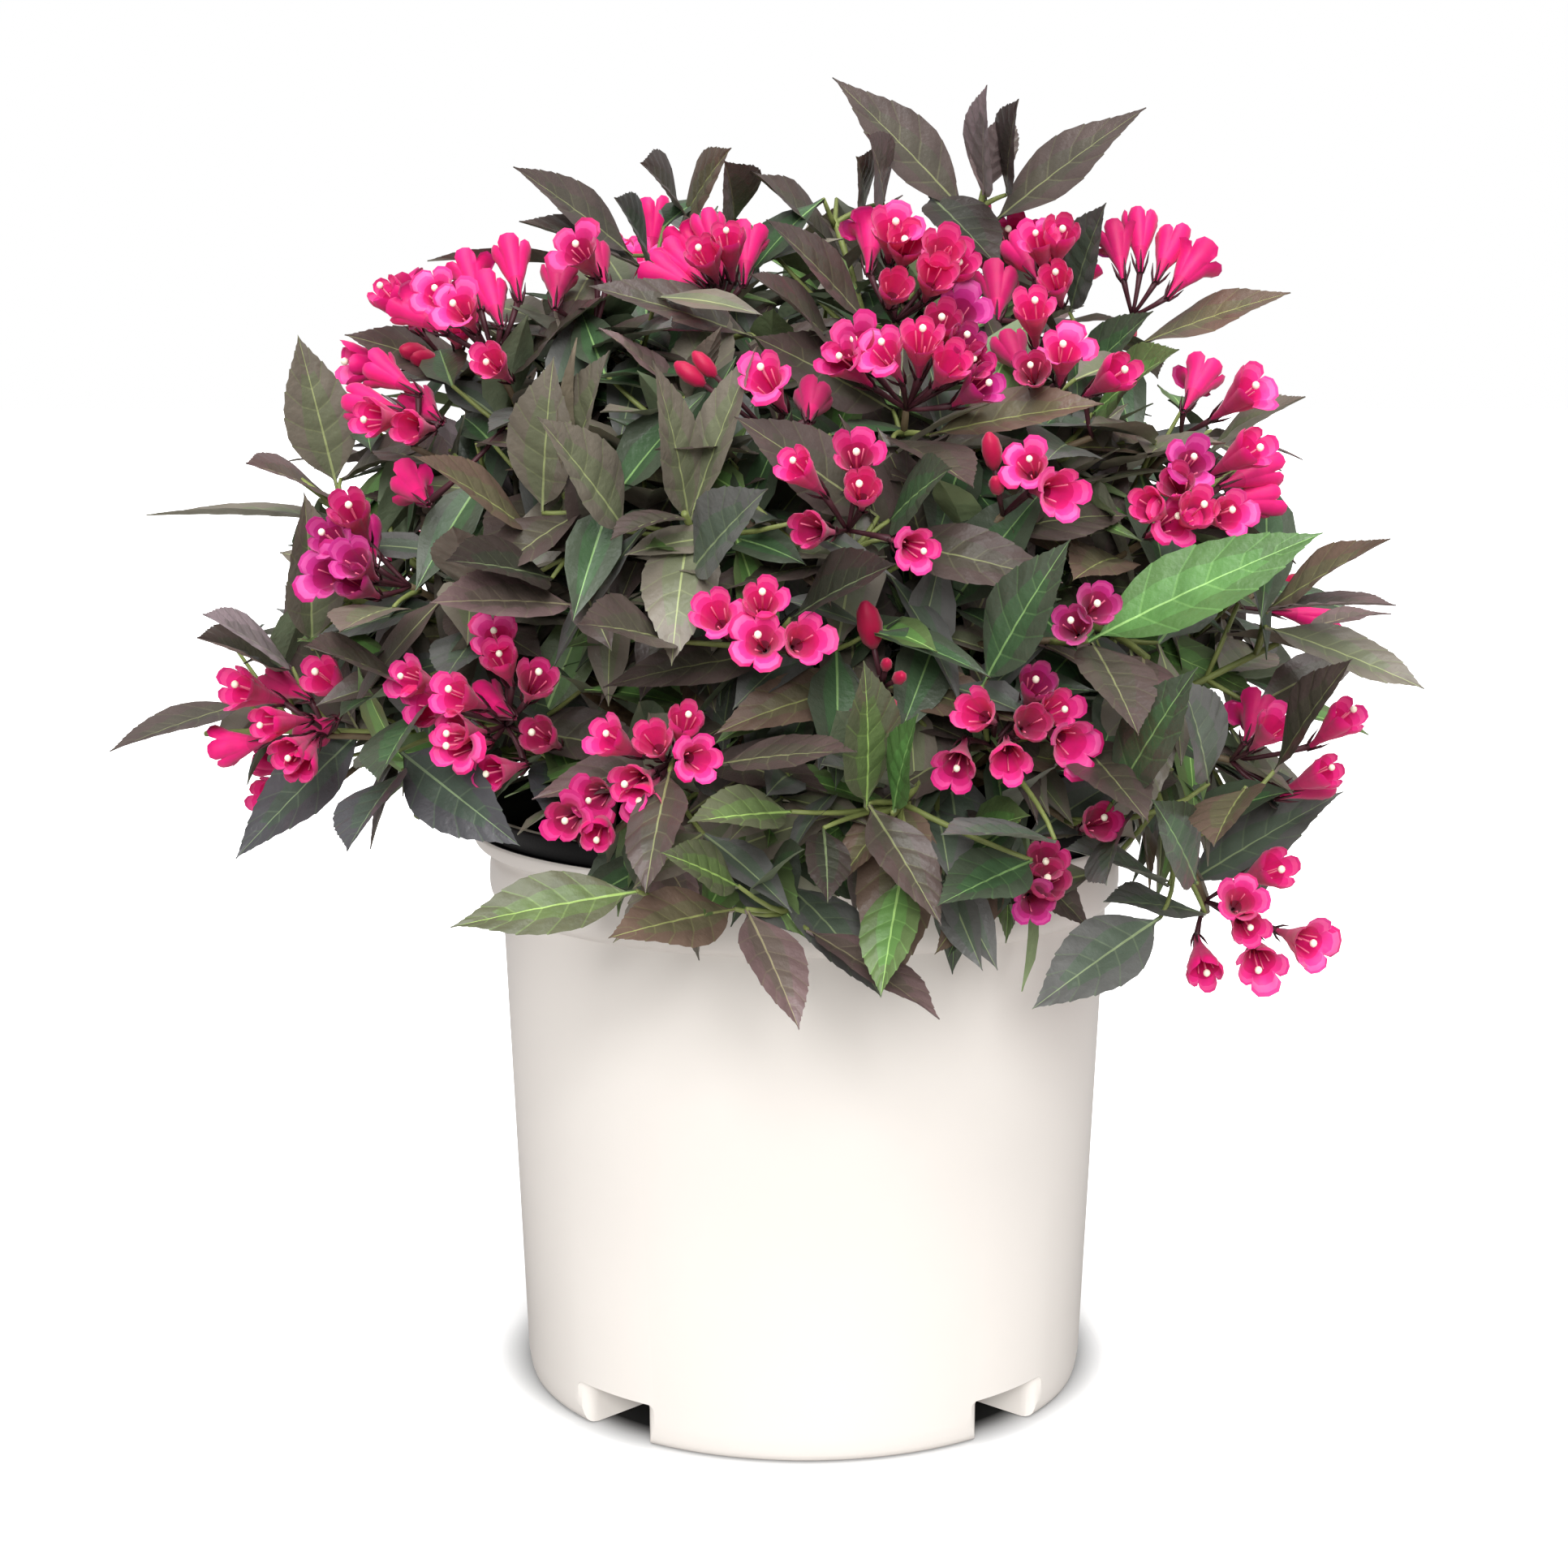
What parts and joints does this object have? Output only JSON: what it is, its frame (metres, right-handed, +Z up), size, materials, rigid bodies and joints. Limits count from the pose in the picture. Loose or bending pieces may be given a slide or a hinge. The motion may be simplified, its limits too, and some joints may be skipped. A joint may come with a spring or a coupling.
{
  "type": "potted weigela",
  "caption": "Flowering weigela shrub with bronze and green leaves and deep pink trumpet blossom, standing in a round white nursery pot filled with potting mix.",
  "frame": {"origin": "on the ground, under the middle of the pot's flat underside", "axes": "+Z up along the pot's axis, -Y towards the pictured side, +X to the right of the picture"},
  "size_m": [0.548, 0.513, 0.5438],
  "materials": {
    "pot": "satin white moulded plastic, dark inside",
    "potting_mix": "damp ground bark",
    "bark": "thin brown bark, green on young shoots",
    "foliage": "leaves from dark bronze to grey green, with deep pink blossom",
    "blossom": "soft deep pink petals"
  },
  "bodies": {
    "root": {"pot": "pot", "potting_mix": "potting_mix", "stem_base": "bark", "bough_top_right": "bark", "bough_top_left": "bark", "bough_front_upper_right": "bark", "bough_front_upper_left": "bark", "bough_left_upper": "bark", "bough_left_middle": "bark", "bough_front_middle": "bark", "bough_right_upper": "bark", "bough_right_low": "bark", "bough_left_low": "bark", "bough_front_low_left": "bark", "bough_front_low_right": "bark", "bough_far_upper_right": "bark", "bough_far_upper_left": "bark", "bough_far_upper": "bark", "bough_far_low_right": "bark", "bough_far_low_left": "bark", "bough_far_low_behind_right": "bark", "bough_far_low_behind_left": "bark", "foliage_top_right": "foliage", "foliage_top_left": "foliage", "foliage_front_upper_right": "foliage", "foliage_front_upper_left": "foliage", "foliage_left_upper": "foliage", "foliage_left_middle": "foliage", "foliage_front_middle": "foliage", "foliage_right_upper": "foliage", "foliage_right_low": "foliage", "foliage_left_low": "foliage", "foliage_front_low_left": "foliage", "foliage_front_low_right": "foliage", "foliage_far_upper_right": "foliage", "foliage_far_upper_left": "foliage", "foliage_far_upper": "foliage", "foliage_far_low_right": "foliage", "foliage_far_low_left": "foliage", "foliage_far_low_behind_right": "foliage", "foliage_far_low_behind_left": "foliage"}
  },
  "joints": []
}
